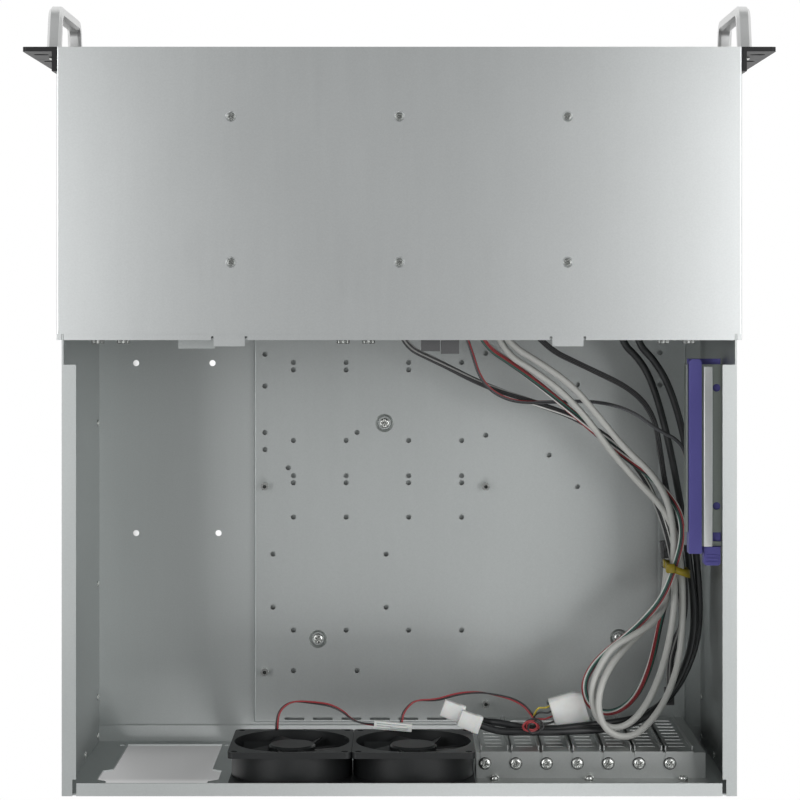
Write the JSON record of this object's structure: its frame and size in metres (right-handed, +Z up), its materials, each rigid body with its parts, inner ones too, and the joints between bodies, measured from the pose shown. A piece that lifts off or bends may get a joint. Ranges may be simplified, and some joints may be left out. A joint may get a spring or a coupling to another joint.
{
  "type": "empty rackmount server case",
  "caption": "Empty open-topped rackmount case with bow handles, perforated board tray, rear fans, vented slot covers and a loose cable harness",
  "frame": {"origin": "underside of the floor, midway between the ears' front plane and the outside of the rear wall", "axes": "+Z up, rack ears and handles face -Y, +X to the right seen from the front"},
  "size_m": [0.4826, 0.512, 0.177],
  "materials": {
    "galvanised": "galvanised sheet steel, soft satin",
    "slot_steel": "bright zinc-plated sheet",
    "screw_steel": "bright nickel-plated steel",
    "black_paint": "black satin powder coat",
    "handle_silver": "satin silver",
    "black_plastic": "black moulded plastic",
    "dark_plastic": "dark grey moulded plastic",
    "board": "green circuit board",
    "lamp": "clear lens",
    "purple_plastic": "purple moulded plastic",
    "grey_cable": "light grey cable jacket",
    "black_cable": "black cable jacket",
    "wire_mix": "thin white, red, green and black wires",
    "red_wire": "red and black wires",
    "white_nylon": "white nylon",
    "yellow_tie": "yellow plastic"
  },
  "bodies": {
    "case": {"bay_cover_1": "black_plastic", "bay_cover_2": "black_plastic", "bay_cover_3": "black_plastic", "black_lead_1": "black_cable", "black_lead_2": "black_cable", "black_lead_3": "black_cable", "cable_clips": "dark_plastic", "cable_tie": "yellow_tie", "chassis_tub": "galvanised", "cover_screws": "screw_steel", "drive_cage": "galvanised", "fan_connectors": "white_nylon", "fan_lead_1": "red_wire", "fan_lead_2": "red_wire", "front_board": "board", "front_cover": "galvanised", "front_fan_frame": "black_plastic", "front_panel": "black_paint", "handle_left": "handle_silver", "handle_right": "handle_silver", "harness_plugs": "dark_plastic", "indicator_lights": "lamp", "joint_connector": "white_nylon", "motherboard_tray": "galvanised", "panel_ribbon": "black_cable", "panel_wires": "wire_mix", "power_connector": "white_nylon", "power_lead": "black_cable", "rack_ear_left": "black_paint", "rack_ear_right": "black_paint", "rail_holder": "galvanised", "rear_fan_1_frame": "black_plastic", "rear_fan_2_frame": "black_plastic", "rear_panel": "galvanised", "side_post": "galvanised", "slot_bracket": "slot_steel", "slot_cover_1": "slot_steel", "slot_cover_2": "slot_steel", "slot_cover_3": "slot_steel", "slot_cover_4": "slot_steel", "slot_cover_5": "slot_steel", "slot_cover_6": "slot_steel", "slot_cover_7": "slot_steel", "slot_screws": "screw_steel", "standoffs": "screw_steel", "thin_lead": "wire_mix", "thumbscrews": "screw_steel", "tray_screws": "screw_steel", "usb_lead_1": "grey_cable", "usb_lead_2": "grey_cable"},
    "rear_fan_1_rotor": {"rear_fan_1_impeller": "black_plastic"},
    "rear_fan_2_rotor": {"rear_fan_2_impeller": "black_plastic"},
    "front_fan_rotor": {"front_fan_impeller": "black_plastic"},
    "power_key": {"power_button": "black_plastic"},
    "reset_key": {"reset_button": "black_plastic"},
    "rail": {"drive_rail": "purple_plastic"}
  },
  "joints": [
    {"name": "rear_fan_1_spin", "type": "hinge", "parent": "case", "child": "rear_fan_1_rotor", "pos_m": [0.071, 0.226, 0.1275], "axis": [0, 1, 0], "continuous": true},
    {"name": "rear_fan_2_spin", "type": "hinge", "parent": "case", "child": "rear_fan_2_rotor", "pos_m": [-0.0092, 0.226, 0.1275], "axis": [0, 1, 0], "continuous": true},
    {"name": "front_fan_spin", "type": "hinge", "parent": "case", "child": "front_fan_rotor", "pos_m": [-0.118, -0.226, 0.092], "axis": [0, 1, 0], "continuous": true},
    {"name": "power_button_press", "type": "slide", "parent": "case", "child": "power_key", "axis": [0, 1, 0], "range_m": [0, 0.0012], "stiffness_N_per_m": 600},
    {"name": "reset_button_press", "type": "slide", "parent": "case", "child": "reset_key", "axis": [0, 1, 0], "range_m": [0, 0.0012], "stiffness_N_per_m": 600},
    {"name": "drive_rail_slide", "type": "slide", "parent": "case", "child": "rail", "axis": [0, 1, 0], "range_m": [0, 0.11]}
  ]
}
